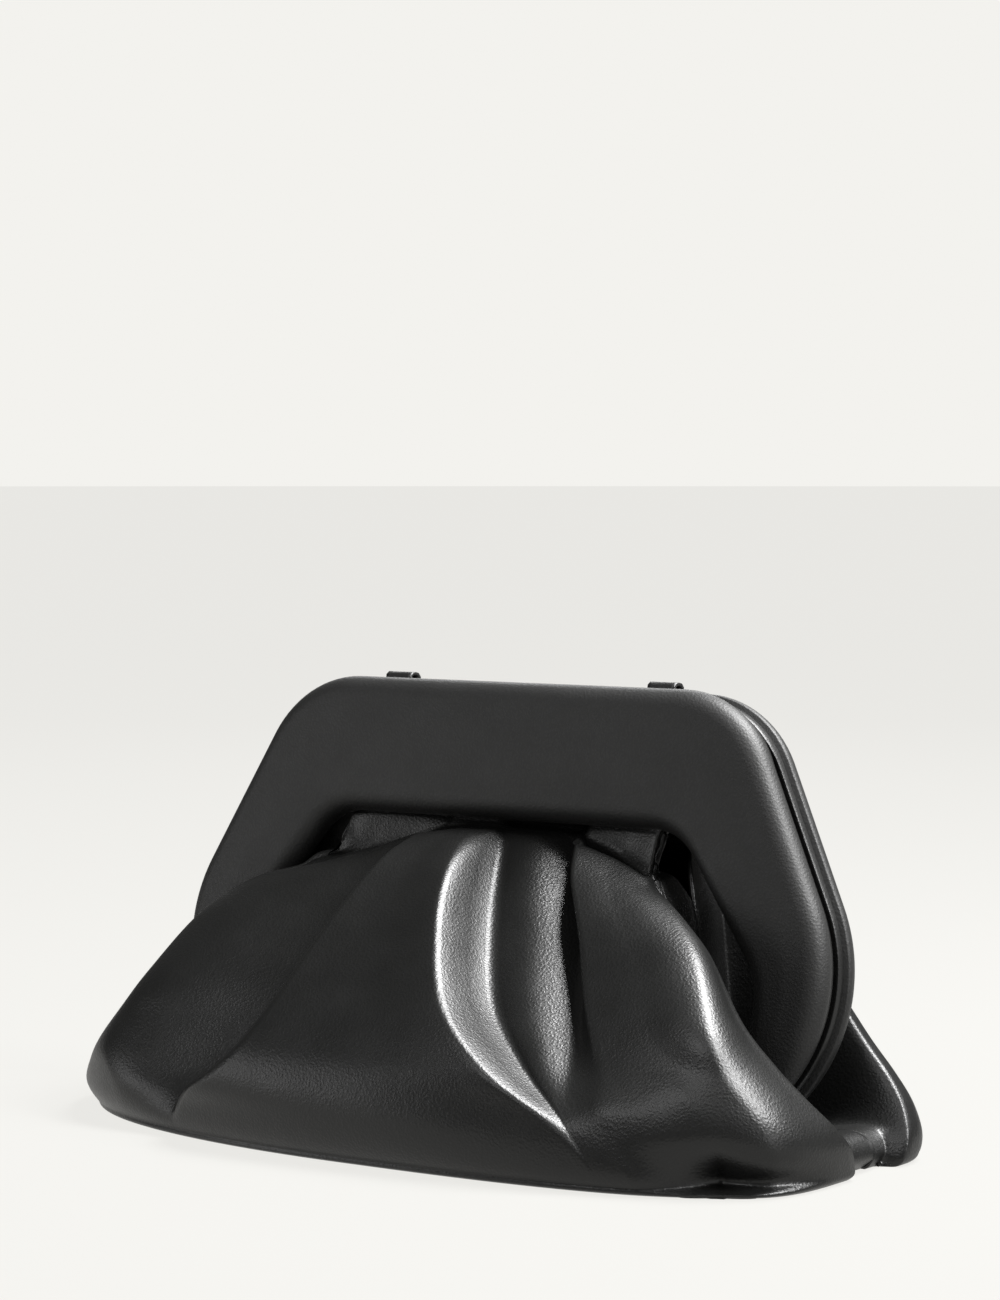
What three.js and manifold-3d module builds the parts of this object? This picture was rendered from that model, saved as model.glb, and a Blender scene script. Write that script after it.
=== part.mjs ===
// Pouch bag with a clasp frame of two padded arches. Millimetres, +Z up, front towards -Y.
// Each frame half is a padded panel with a backing board behind it. The gathered leather
// pouch hangs from the panels, comes out through their mouths and stands on the floor.
import * as THREE from 'three';
import { mergeVertices } from 'three/addons/utils/BufferGeometryUtils.js';
import Module from 'manifold-3d';

const wasm = await Module();
wasm.setup();

// Named clearances
const fitGap = 0.3;          // between pieces that touch on the real bag
const seamGap = 0.3;         // from each leather edge to the middle of a seam

// Frame outline, in the plane of the arch: heights run up the leaning plane
const frameLean = 9.2 * Math.PI / 180;
const frameHeight = 181.5;
const topHalf = 109.1;       // half width at the upper corners, before rounding
const hipHalf = 169;         // half width at the outer side corners, before rounding
const hipHeight = 62.7;
const tipOuterHalf = 130.5;  // foot of each leg
const tipInnerHalf = 113;
const tipHeight = 12;
const kneeHalf = 127.8;      // widest part of the mouth
const kneeHeight = 66;
const mouthHalf = 84.7;      // mouth's upper corners, before rounding
const mouthHeight = 125;
const topRadius = 46.7;
const hipRadius = 68;
const tipRadius = 9;
const kneeRadius = 30;
const mouthRadius = 24;

// Frame layers, measured from the middle plane between the two halves
const halfGap = 2.0;         // middle plane to the inner face of a backing, low down
const closedGap = 0.3;       // the same at the top, where the halves meet
const closedBand = 30;       // height of the band over which the halves come together
const backingThickness = 4.2;
const backingInset = 2.4;    // backing's edge inside the panel's edge
const backingEdge = 0.5;
const backingKnee = 5;       // backing's sides further out than the panel's, beside the mouth
const panelThickness = 10;
const panelInset = 7;        // how far the padding rounds in from the edge to its face

// Leather
const hide = 1.6;
const hemHeight = 7;         // hem glued behind the top bar
const hemHalf = 76;
const hemRelief = 1.0;       // backing's edge above the hem
const hemEdge = 1;           // seam allowance at each end of the hem
const foldBed = 4;           // least reach over which a fold's direction is worked out

// Pouch
const pouchHalf = 182;       // half width on the floor
const frontBulge = 90;       // reach ahead of the front panel's face
const backBulge = 48;        // reach behind the back panel's face
const saddleY = 7.5;         // side seam's distance behind the frame's foot line
const joinHeight = 88;       // above this the side edges part to reach their own hems

// Strap loops
const loopWidth = 16;
const loopSpacing = 131;
const loopStrip = 1.6;
const loopEye = 5.0;         // eye, front to back
const loopRise = 3.4;        // how far a loop stands above the panels
const loopTail = 11;         // length of the stitched tail
const tailThickness = 3.0;

const crease = halfGap + backingThickness + fitGap;   // rear face of a panel
const face = crease + panelThickness;                  // outer face of a panel

const sinL = Math.sin(frameLean), cosL = Math.cos(frameLean);
// From the frame's plane to the bag: s up the plane, d behind the middle plane
const toBag = (s, d) => ({ y: s * sinL + d * cosL, z: s * cosL - d * sinL });
const planeY = (z, d) => z * Math.tan(frameLean) + d / cosL;
const mouthZ = toBag(mouthHeight, -crease).z;

const clamp01 = (v) => Math.min(1, Math.max(0, v));
const smooth = (v) => { const c = clamp01(v); return c * c * (3 - 2 * c); };
const mix = (a, b, k) => a + (b - a) * k;

const materials = {
  pad: new THREE.MeshStandardMaterial({ color: 0x1b1c1a, roughness: 0.5, metalness: 0 }),
  board: new THREE.MeshStandardMaterial({ color: 0x191a18, roughness: 0.55, metalness: 0 }),
  pouch: new THREE.MeshStandardMaterial({ color: 0x1a1b19, roughness: 0.42, metalness: 0 }),
  loop: new THREE.MeshStandardMaterial({ color: 0x20211f, roughness: 0.5, metalness: 0 }),
};

// Closed outline with each corner rounded
function roundedOutline(corners) {
  const pts = [];
  const n = corners.length;
  corners.forEach((c, i) => {
    const p = new THREE.Vector2(c.x, c.z);
    const a = new THREE.Vector2(corners[(i + n - 1) % n].x, corners[(i + n - 1) % n].z).sub(p).normalize();
    const b = new THREE.Vector2(corners[(i + 1) % n].x, corners[(i + 1) % n].z).sub(p).normalize();
    const half = Math.acos(THREE.MathUtils.clamp(a.dot(b), -1, 1)) / 2;
    const centre = a.clone().add(b).normalize().multiplyScalar(c.r / Math.sin(half)).add(p);
    const reach = c.r / Math.tan(half);
    const s = a.clone().multiplyScalar(reach).add(p).sub(centre);
    const e = b.clone().multiplyScalar(reach).add(p).sub(centre);
    const a0 = Math.atan2(s.y, s.x);
    let da = Math.atan2(e.y, e.x) - a0;
    while (da > Math.PI) da -= 2 * Math.PI;
    while (da < -Math.PI) da += 2 * Math.PI;
    for (let k = 0; k <= c.steps; k++) {
      const t = a0 + da * k / c.steps;
      pts.push(new THREE.Vector2(centre.x + c.r * Math.cos(t), centre.y + c.r * Math.sin(t)));
    }
  });
  return pts;
}

// Steps round each corner: upper, hip and foot outside, foot, knee and mouth inside
const archSteps = { outer: [8, 8, 4], inner: [4, 3, 5] };

function archOutline(inset, mouthRise, kneeRise) {
  const [s1, s2, s3] = archSteps.outer, [s4, s5, s6] = archSteps.inner;
  const right = [
    { x: topHalf, z: frameHeight, r: topRadius, steps: s1 },
    { x: hipHalf, z: hipHeight, r: hipRadius, steps: s2 },
    { x: tipOuterHalf, z: tipHeight, r: tipRadius, steps: s3 },
    { x: tipInnerHalf, z: tipHeight, r: tipRadius, steps: s4 },
    { x: kneeHalf + kneeRise, z: kneeHeight, r: kneeRadius, steps: s5 },
    { x: mouthHalf + kneeRise, z: mouthHeight + mouthRise, r: mouthRadius, steps: s6 },
  ];
  const left = right.map((c) => ({ ...c, x: -c.x })).reverse();
  return offsetOutline(roundedOutline([...right, ...left]), inset);
}

// Moves a clockwise outline inwards
function offsetOutline(pts, inset) {
  const n = pts.length;
  return pts.map((p, i) => {
    const a = p.clone().sub(pts[(i + n - 1) % n]).normalize();
    const b = pts[(i + 1) % n].clone().sub(p).normalize();
    const na = new THREE.Vector2(a.y, -a.x), nb = new THREE.Vector2(b.y, -b.x);
    const m = na.add(nb).normalize();
    const k = Math.max(0.6, m.dot(nb));
    return p.clone().addScaledVector(m, inset / k);
  });
}

// Triangles between an arch's outer edge and its mouth, from the left foot round to the right
function archCap(pts) {
  const n = pts.length;
  const outerCount = archSteps.outer.reduce((k, v) => k + v + 1, 0);
  const outer = [], inner = [];
  for (let i = n - outerCount; i < n + outerCount; i++) outer.push(i % n);
  for (let i = n - outerCount - 1; i >= outerCount; i--) inner.push(i);
  const tris = [];
  let i = 0, j = 0;
  while (i + 1 < outer.length || j + 1 < inner.length) {
    const alongOuter = i + 1 < outer.length ? pts[outer[i + 1]].distanceTo(pts[inner[j]]) : Infinity;
    const alongInner = j + 1 < inner.length ? pts[outer[i]].distanceTo(pts[inner[j + 1]]) : Infinity;
    if (alongOuter <= alongInner) {
      tris.push([outer[i], outer[i + 1], inner[j]]);
      i++;
    } else {
      tris.push([outer[i], inner[j + 1], inner[j]]);
      j++;
    }
  }
  return tris;
}

// Closed solid from rings of equal length, with a cap at each end
function ringSolid(rings, capOutline) {
  const n = rings[0].length;
  const pos = rings.flat().flatMap((v) => [v.x, v.y, v.z]);
  const idx = [];
  for (let r = 0; r + 1 < rings.length; r++) {
    for (let i = 0; i < n; i++) {
      const j = (i + 1) % n;
      const a = r * n + i, b = r * n + j, c = (r + 1) * n + j, d = (r + 1) * n + i;
      idx.push(a, b, c, a, c, d);
    }
  }
  const last = (rings.length - 1) * n;
  // The outline runs clockwise: the first cap turns against it, the last one with it
  archCap(capOutline).forEach(([a, b, c]) => {
    idx.push(c, b, a, last + a, last + b, last + c);
  });
  return closedGeometry(pos, idx);
}

function closedGeometry(pos, idx) {
  const g = new THREE.BufferGeometry();
  g.setAttribute('position', new THREE.Float32BufferAttribute(pos, 3));
  g.setIndex(idx);
  // Faces out: a closed shell turned the wrong way has a negative volume
  let volume = 0;
  const v = [new THREE.Vector3(), new THREE.Vector3(), new THREE.Vector3()];
  for (let i = 0; i < idx.length; i += 3) {
    for (let k = 0; k < 3; k++) v[k].fromArray(pos, idx[i + k] * 3);
    volume += v[0].dot(v[1].clone().cross(v[2]));
  }
  if (volume < 0) {
    const turned = [];
    for (let i = 0; i < idx.length; i += 3) turned.push(idx[i], idx[i + 2], idx[i + 1]);
    g.setIndex(turned);
  }
  return g;
}

// Padding: rows from the crease out to the face, as shares of the panel's sizes
const padRows = [
  { depth: 0.00, inset: 0.12 },
  { depth: 0.18, inset: 0.00 },
  { depth: 0.50, inset: 0.06 },
  { depth: 0.80, inset: 0.38 },
  { depth: 1.00, inset: 1.00 },
];

function panelGeometry(side) {
  const rings = padRows.map((row) => archOutline(row.inset * panelInset, 0, 0).map((p) => {
    const b = toBag(p.y, side * (crease + row.depth * panelThickness));
    return new THREE.Vector3(p.x, b.y, b.z);
  }));
  return ringSolid(rings, archOutline(0, 0, 0));
}

// Backing: its inner face closes on the other half's near the top
const backingRows = [
  { depth: 0.0, inset: 0.0 },
  { depth: 0.14, inset: -1.0 },
  { depth: 0.86, inset: -1.0 },
  { depth: 1.0, inset: 0.0 },
];

function backingGeometry(side) {
  const rise = hemHeight + hemRelief - backingInset;
  const rings = backingRows.map((row) => archOutline(backingInset + backingEdge * (1 + row.inset), rise, backingKnee).map((p) => {
    const near = mix(halfGap, closedGap, smooth((p.y - (frameHeight - closedBand)) / closedBand * 2));
    const d = mix(near, halfGap + backingThickness, row.depth);
    const b = toBag(p.y, side * d);
    return new THREE.Vector3(p.x, b.y, b.z);
  }));
  return ringSolid(rings, archOutline(backingInset, rise, backingKnee));
}

// Pouch sections from the mouth down, for one side of the bag. Shares:
// height, drop and endHeight of the mouth's height; left, right and end of the way from
// the hem's half width out to the pouch's; out, side and tail of the bulge.
const frontSections = [
  { height: 0.960, left: 0.150, right: 0.040, drop: 0.080, out: 0.100, side: 0.030, end: 0.080, endHeight: 0.850, tail: 0.010 },
  { height: 0.880, left: 0.300, right: 0.130, drop: 0.085, out: 0.300, side: 0.075, end: 0.130, endHeight: 0.730, tail: 0.035 },
  { height: 0.700, left: 0.480, right: 0.450, drop: 0.032, out: 0.560, side: 0.200, end: 0.170, endHeight: 0.540, tail: 0.060 },
  { height: 0.490, left: 0.600, right: 0.700, drop: 0.008, out: 0.800, side: 0.330, end: 0.210, endHeight: 0.345, tail: 0.070 },
  { height: 0.357, left: 0.715, right: 0.830, drop: 0.000, out: 0.915, side: 0.310, end: 0.285, endHeight: 0.185, tail: 0.070 },
  { height: 0.260, left: 0.830, right: 0.925, drop: 0.000, out: 0.965, side: 0.250, end: 0.430, endHeight: 0.062, tail: 0.070 },
  { height: 0.180, left: 0.925, right: 0.980, drop: 0.000, out: 1.000, side: 0.160, end: 0.660, endHeight: 0.098, tail: 0.060 },
  { height: 0.097, left: 1.030, right: 0.985, drop: 0.000, out: 1.000, side: 0.050, end: 0.860, endHeight: 0.112, tail: 0.000 },
  { height: 0.032, left: 0.990, right: 1.000, drop: 0.000, out: 0.965, side: 0.000, end: 0.930, endHeight: 0.052, tail: -0.040 },
];
const backSections = [
  { height: 0.945, left: 0.080, right: 0.080, drop: 0.070, out: 0.120, side: 0.050, end: 0.070, endHeight: 0.850, tail: 0.020 },
  { height: 0.860, left: 0.240, right: 0.240, drop: 0.060, out: 0.310, side: 0.140, end: 0.120, endHeight: 0.730, tail: 0.060 },
  { height: 0.700, left: 0.430, right: 0.430, drop: 0.030, out: 0.520, side: 0.200, end: 0.160, endHeight: 0.540, tail: 0.090 },
  { height: 0.490, left: 0.610, right: 0.610, drop: 0.008, out: 0.750, side: 0.250, end: 0.200, endHeight: 0.345, tail: 0.110 },
  { height: 0.357, left: 0.735, right: 0.735, drop: 0.000, out: 0.880, side: 0.260, end: 0.275, endHeight: 0.185, tail: 0.110 },
  { height: 0.260, left: 0.850, right: 0.850, drop: 0.000, out: 0.950, side: 0.240, end: 0.420, endHeight: 0.062, tail: 0.100 },
  { height: 0.180, left: 0.930, right: 0.930, drop: 0.000, out: 1.000, side: 0.190, end: 0.650, endHeight: 0.098, tail: 0.080 },
  { height: 0.097, left: 0.985, right: 0.985, drop: 0.000, out: 1.000, side: 0.100, end: 0.850, endHeight: 0.112, tail: 0.020 },
  { height: 0.032, left: 0.990, right: 0.990, drop: 0.000, out: 0.950, side: 0.050, end: 0.920, endHeight: 0.052, tail: -0.020 },
];
// Footprint, and its way in to the bottom seam
const frontFoot = { left: 0.910, right: 0.965, end: 0.880, out: 0.890, side: 0.000 };
const backFoot = { left: 0.930, right: 0.930, end: 0.870, out: 0.860, side: 0.040 };
const footRows = [
  { inwards: 0.0, narrow: 1.00, endNarrow: 1.00 },
  { inwards: 0.5, narrow: 0.90, endNarrow: 0.95 },
  { inwards: 1.0, narrow: 0.78, endNarrow: 0.88 },
];

// Folds: from a place on the sheet to another. u runs across, from -1 at the left edge to 1
// at the right; t counts the sections down from the hem. Widths are shares across, and
// heights are shares of the bulge, out of the bag where positive.
const frontFolds = [
  { name: 'left lobe', u0: -0.46, t0: 4.6, u1: -0.42, t1: 9.5, w0: 0.13, w1: 0.14, h0: 0.040, h1: 0.030 },
  { name: 'left valley', u0: -0.275, t0: 4.4, u1: -0.300, t1: 9.9, w0: 0.055, w1: 0.050, h0: -0.100, h1: -0.110 },
  { name: 'main lobe, left edge', u0: -0.185, t0: 4.4, u1: -0.215, t1: 9.7, w0: 0.055, w1: 0.050, h0: 0.060, h1: 0.050 },
  { name: 'main lobe, right edge', u0: 0.000, t0: 4.0, u1: 0.170, t1: 9.0, w0: 0.060, w1: 0.055, h0: 0.085, h1: 0.060 },
  { name: 'deep pleat', u0: 0.125, t0: 3.6, u1: 0.262, t1: 10.2, w0: 0.062, w1: 0.048, h0: -0.190, h1: -0.090 },
  { name: 'third lobe, left edge', u0: 0.270, t0: 4.2, u1: 0.330, t1: 7.2, w0: 0.045, w1: 0.050, h0: 0.040, h1: 0.020 },
  { name: 'third lobe, hollow', u0: 0.420, t0: 5.2, u1: 0.440, t1: 8.4, w0: 0.090, w1: 0.080, h0: -0.080, h1: -0.050 },
  { name: 'third lobe, right edge', u0: 0.600, t0: 4.6, u1: 0.540, t1: 9.6, w0: 0.070, w1: 0.080, h0: 0.050, h1: 0.040 },
  { name: 'low right hollow', u0: 0.450, t0: 10.6, u1: 0.470, t1: 12.0, w0: 0.060, w1: 0.060, h0: -0.050, h1: -0.040 },
];
const backFolds = [
  { name: 'left hollow', u0: -0.300, t0: 4.4, u1: -0.380, t1: 9.6, w0: 0.070, w1: 0.070, h0: -0.120, h1: -0.140 },
  { name: 'left ridge', u0: -0.130, t0: 4.2, u1: -0.200, t1: 9.6, w0: 0.070, w1: 0.080, h0: 0.080, h1: 0.060 },
  { name: 'middle pleat', u0: 0.030, t0: 4.0, u1: 0.020, t1: 10.0, w0: 0.050, w1: 0.045, h0: -0.220, h1: -0.160 },
  { name: 'right ridge', u0: 0.180, t0: 4.2, u1: 0.230, t1: 9.6, w0: 0.070, w1: 0.080, h0: 0.080, h1: 0.060 },
  { name: 'right hollow', u0: 0.350, t0: 4.4, u1: 0.400, t1: 9.6, w0: 0.070, w1: 0.070, h0: -0.120, h1: -0.140 },
];

const keys = ['z', 'left', 'right', 'drop', 'yc', 'reach', 'ex', 'ey', 'ez', 'tail'];

function seamY(z, side) {
  const apart = smooth((z - joinHeight) / (mouthZ - joinHeight));
  return Math.max(planeY(z, 0), saddleY) + side * (seamGap + apart * (crease - fitGap));
}

function sectionRows(side, sections, foot, bulge) {
  const wide = pouchHalf - hemHalf;
  const rows = [];
  // The hem behind the top bar, then under the bar and out of the mouth
  const rear = crease - fitGap;
  [[hemHeight, rear], [hemHeight * 0.15, rear], [-fitGap * 7, rear + fitGap * 4], [-fitGap * 13, mix(crease, face, 0.45)]].forEach(([s, d]) => {
    const b = toBag(mouthHeight + s, side * d);
    rows.push({ z: b.z, left: hemHalf, right: hemHalf, drop: 0, yc: b.y - side * seamGap, reach: seamGap, ex: hemHalf + hemEdge, ey: b.y - side * seamGap, ez: b.z, tail: b.y - side * seamGap });
  });
  sections.forEach((s) => {
    const z = s.height * mouthZ;
    const yFace = planeY(z, side * face);
    const yc = yFace + side * s.side * bulge;
    rows.push({
      z, left: hemHalf + s.left * wide, right: hemHalf + s.right * wide, drop: s.drop * mouthZ,
      yc, reach: (s.out - s.side) * bulge,
      ex: hemHalf + s.end * wide, ey: seamY(s.endHeight * mouthZ, side), ez: s.endHeight * mouthZ,
      tail: planeY(s.endHeight * mouthZ, side * face) + side * s.tail * bulge,
    });
  });
  footRows.forEach((f) => {
    const seam = seamY(0, side);
    const yFace = planeY(0, side * face);
    const yc = mix(yFace + side * foot.side * bulge, seam, f.inwards);
    const yFront = mix(yFace + side * foot.out * bulge, seam + side * seamGap, f.inwards);
    rows.push({
      z: 0, left: (hemHalf + foot.left * wide) * f.narrow, right: (hemHalf + foot.right * wide) * f.narrow, drop: 0,
      yc, reach: Math.abs(yFront - yc), ex: (hemHalf + foot.end * wide) * f.endNarrow, ey: seam, ez: 0, tail: mix(yc, seam, 0.5),
    });
  });
  return rows;
}

// Smooth row between the table's rows
function rowAt(rows, t) {
  const n = rows.length;
  const i = Math.min(n - 2, Math.floor(t)), f = t - i;
  const p = [rows[Math.max(0, i - 1)], rows[i], rows[i + 1], rows[Math.min(n - 1, i + 2)]];
  const out = {};
  keys.forEach((k) => {
    const [a, b, c, d] = p.map((r) => r[k]);
    out[k] = 0.5 * (2 * b + (c - a) * f + (2 * a - 5 * b + 4 * c - d) * f * f + (3 * b - a - 3 * c + d) * f * f * f);
  });
  return out;
}

const shoulderAt = 0.74;     // share across at which a sheet turns back at its shoulder
const neckAt = 0.90;         // share across at which it is in line with its side edge

function sheetPoint(rows, folds, side, bulge, u, t) {
  const r = rowAt(rows, t);
  const a = Math.abs(u), sx = u < 0 ? -1 : 1;
  const half = u < 0 ? r.left : r.right;
  let x, y, z;
  if (a <= shoulderAt) {
    const th = a / shoulderAt * Math.PI / 2;
    const s = Math.sin(th), c = Math.cos(th);
    let h = 0;
    folds.forEach((f) => {
      const k = (t - f.t0) / (f.t1 - f.t0);
      const ends = smooth((k + 0.25) / 0.35) * smooth((1.2 - k) / 0.3);
      const q = clamp01(k);
      const w = (u - mix(f.u0, f.u1, q)) / mix(f.w0, f.w1, q);
      h += ends * mix(f.h0, f.h1, q) * Math.exp(-w * w) * bulge;
    });
    const grow = Math.pow(s, 0.94);
    const nx = s / half, ny = c / Math.max(foldBed, r.reach), nl = Math.hypot(nx, ny);
    x = half * grow + h * nx / nl;
    y = r.yc + side * (r.reach * Math.pow(c, 0.86) + h * ny / nl);
    z = r.z - r.drop * s * s;
  } else {
    const zs = r.z - r.drop;
    if (a <= neckAt) {
      const k = (a - shoulderAt) / (neckAt - shoulderAt);
      const pull = 0.55 * (r.tail - r.yc);
      const b0 = (1 - k) ** 3, b1 = 3 * k * (1 - k) ** 2, b2 = 3 * k * k * (1 - k), b3 = k ** 3;
      x = half * (b0 + b1) + r.ex * (b2 + b3);
      y = r.yc * b0 + (r.yc + pull) * b1 + (r.tail - pull) * b2 + r.tail * b3;
      z = zs * (b0 + b1) + r.ez * (b2 + b3);
    } else {
      const k = (a - neckAt) / (1 - neckAt);
      x = r.ex; y = mix(r.tail, r.ey, k); z = r.ez;
    }
  }
  return new THREE.Vector3(sx * x, y, Math.max(0, z));
}

function sheetGeometry(side, sections, foot, folds, bulge, across, down) {
  const rows = sectionRows(side, sections, foot, bulge);
  const last = rows.length - 1;
  const at = (u, t) => sheetPoint(rows, folds, side, bulge, THREE.MathUtils.clamp(u, -1, 1), THREE.MathUtils.clamp(t, 0, last));
  const pos = [], inner = [];
  for (let j = 0; j <= down; j++) {
    for (let i = 0; i <= across; i++) {
      const u = -1 + 2 * i / across, t = last * j / down;
      const p = at(u, t);
      const du = at(u + 0.01, t).sub(at(u - 0.01, t));
      const dt = at(u, t + 0.08).sub(at(u, t - 0.08));
      const n = du.cross(dt).normalize().multiplyScalar(side);
      pos.push(p.x, p.y, p.z);
      const q = p.clone().addScaledVector(n, -hide);
      inner.push(q.x, q.y, Math.max(q.z, j > down - 3 ? hide : 0));
    }
  }
  const row = across + 1, count = row * (down + 1);
  const idx = [];
  const quad = (a, b, c, d) => idx.push(a, b, c, a, c, d);
  for (let j = 0; j < down; j++) {
    for (let i = 0; i < across; i++) {
      const a = j * row + i, b = a + 1, c = b + row, d = a + row;
      quad(a, b, c, d);
      quad(count + d, count + c, count + b, count + a);
    }
  }
  for (let i = 0; i < across; i++) {
    quad(count + i, count + i + 1, i + 1, i);
    const a = down * row + i;
    quad(a, a + 1, count + a + 1, count + a);
  }
  for (let j = 0; j < down; j++) {
    const a = j * row, b = a + row;
    quad(a, b, count + b, count + a);
    const c = a + across, d = b + across;
    quad(d, c, count + c, count + d);
  }
  return closedGeometry([...pos, ...inner], idx);
}

// Strap loop: a strip folded into an eye, with its tail stitched into the back half's groove
function loopGeometry() {
  const eye = loopEye / 2, strip = loopStrip;
  const top = loopRise + frameHeight;
  const low = frameHeight - backingInset + fitGap;
  const tailMid = halfGap + backingThickness - tailThickness / 2;
  const mid = 0;
  const outer = new THREE.Shape();
  outer.moveTo(tailMid - tailThickness / 2, low - loopTail);
  outer.lineTo(tailMid + tailThickness / 2, low - loopTail);
  outer.lineTo(tailMid + tailThickness / 2, low);
  outer.lineTo(mid + eye + strip, low + strip * 1.3);
  outer.lineTo(mid + eye + strip * 0.4, top - strip * 0.6);
  outer.lineTo(mid + eye * 0.55, top);
  outer.lineTo(mid - eye * 0.55, top);
  outer.lineTo(mid - eye - strip * 0.4, top - strip * 0.6);
  outer.lineTo(mid - eye - strip, low + strip * 0.7);
  outer.lineTo(mid - eye, low);
  outer.lineTo(tailMid - tailThickness / 2, low);
  const hole = new THREE.Path();
  hole.moveTo(mid - eye, low + strip);
  hole.lineTo(mid - eye + strip * 0.4, top - strip * 1.3);
  hole.lineTo(mid - eye * 0.5, top - strip);
  hole.lineTo(mid + eye * 0.5, top - strip);
  hole.lineTo(mid + eye - strip * 0.4, top - strip * 1.3);
  hole.lineTo(mid + eye, low + strip);
  // Both ends of the extrusion and every wall share the section's points
  const rim = outer.getPoints(1), inside = hole.getPoints(1);
  const section = [...rim, ...inside];
  const n = section.length;
  const pos = [];
  [-loopWidth / 2, loopWidth / 2].forEach((w) => section.forEach((q) => {
    const b = toBag(q.y, q.x);
    pos.push(w, b.y, b.z);
  }));
  const idx = [];
  const wall = (from, count, turn) => {
    for (let i = 0; i < count; i++) {
      const a = from + i, b = from + (i + 1) % count;
      if (turn) idx.push(a, b, n + b, a, n + b, n + a);
      else idx.push(b, a, n + a, b, n + a, n + b);
    }
  };
  const rimCcw = THREE.ShapeUtils.area(rim) > 0, insideCcw = THREE.ShapeUtils.area(inside) > 0;
  wall(0, rim.length, rimCcw);
  wall(rim.length, inside.length, !insideCcw);
  THREE.ShapeUtils.triangulateShape(rim, [inside]).forEach(([a, b, c]) => {
    const ccw = THREE.ShapeUtils.area([section[a], section[b], section[c]]) > 0;
    if (ccw) idx.push(c, b, a, n + a, n + b, n + c);
    else idx.push(a, b, c, n + c, n + b, n + a);
  });
  return closedGeometry(pos, idx);
}

function toManifold(g) {
  return new wasm.Manifold(new wasm.Mesh({
    numProp: 3,
    vertProperties: new Float32Array(g.getAttribute('position').array),
    triVerts: new Uint32Array(g.getIndex().array),
  }));
}

function fromManifold(m) {
  const mesh = m.getMesh();
  return closedGeometry(Array.from(mesh.vertProperties), Array.from(mesh.triVerts));
}

// Cuts the slot that takes a loop's tail, with its clearance
function cutTailSlots(g) {
  let solid = toManifold(g);
  const rear = halfGap + backingThickness;
  [-1, 1].forEach((sx) => {
    const wide = loopWidth / 2 + fitGap, s0 = frameHeight - backingInset - loopTail, s1 = frameHeight + backingInset;
    const d0 = rear - tailThickness - fitGap, d1 = rear + 2;
    const box = new THREE.BoxGeometry(2 * wide, d1 - d0, s1 - s0);
    box.translate(sx * loopSpacing / 2, (d0 + d1) / 2, (s0 + s1) / 2);
    box.rotateX(-frameLean);
    box.deleteAttribute('normal');
    box.deleteAttribute('uv');
    const b = mergeVertices(box, 1e-4);
    solid = solid.subtract(toManifold(b));
  });
  return fromManifold(solid);
}

const across = 44, down = 30, backAcross = 34, backDown = 24;
const pieces = [
  ['front_panel', panelGeometry(-1), materials.pad],
  ['front_backing', backingGeometry(-1), materials.board],
  ['back_backing', cutTailSlots(backingGeometry(1)), materials.board],
  ['back_panel', panelGeometry(1), materials.pad],
  ['pouch_front', sheetGeometry(-1, frontSections, frontFoot, frontFolds, frontBulge, across, down), materials.pouch],
  ['pouch_back', sheetGeometry(1, backSections, backFoot, backFolds, backBulge, backAcross, backDown), materials.pouch],
  ['strap_loop_left', loopGeometry().translate(-loopSpacing / 2, 0, 0), materials.loop],
  ['strap_loop_right', loopGeometry().translate(loopSpacing / 2, 0, 0), materials.loop],
];

const bag = new THREE.Group();
const bounds = new THREE.Box3();
pieces.forEach(([name, geometry, material]) => {
  const mesh = new THREE.Mesh(geometry, material);
  mesh.name = name;
  geometry.computeBoundingBox();
  bounds.union(geometry.boundingBox);
  bag.add(mesh);
});
// Origin: the middle of the bag's bounds, on the floor
const middle = bounds.getCenter(new THREE.Vector3());
bag.children.forEach((mesh) => {
  mesh.position.set(-middle.x, -middle.y, -bounds.min.z);
});

export default bag;
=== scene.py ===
# %% [markdown]
# Cloud pouch bag. The real bag is a soft leather pouch gathered into a clasp frame of two
# padded arches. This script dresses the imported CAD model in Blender: it loads the model as a
# fixed frame, then makes each piece again as the soft thing it is, in the same place.

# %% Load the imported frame
import math
import bmesh
import bpy
import numpy as np
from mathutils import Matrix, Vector


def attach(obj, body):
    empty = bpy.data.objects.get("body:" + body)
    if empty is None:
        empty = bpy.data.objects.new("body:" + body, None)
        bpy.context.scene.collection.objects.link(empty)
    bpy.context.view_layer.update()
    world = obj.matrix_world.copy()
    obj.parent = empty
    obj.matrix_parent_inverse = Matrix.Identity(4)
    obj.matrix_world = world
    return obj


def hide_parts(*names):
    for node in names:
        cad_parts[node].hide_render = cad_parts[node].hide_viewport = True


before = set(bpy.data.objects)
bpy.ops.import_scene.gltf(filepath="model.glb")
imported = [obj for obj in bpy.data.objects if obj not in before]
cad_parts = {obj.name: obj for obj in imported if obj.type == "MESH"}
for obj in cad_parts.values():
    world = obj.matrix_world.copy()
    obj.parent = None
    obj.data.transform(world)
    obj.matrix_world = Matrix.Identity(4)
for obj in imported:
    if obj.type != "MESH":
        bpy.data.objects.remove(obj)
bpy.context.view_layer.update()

print("nodes:", ", ".join(sorted(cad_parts)))

# %% [markdown]
# The camera stands where the photograph was taken from: 1.5 m away, 35 degrees to the right of
# the bag's front and a little above it. These numbers come from fitting the frame's outline in
# perspective. A long lens at this distance keeps the same small amount of perspective.

# %% Camera
PHOTO_HEIGHT = 1300      # pixels
FOCAL_LENGTH = 3707.117  # in the photo's pixels
SENSOR = 36              # mm, upright

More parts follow.
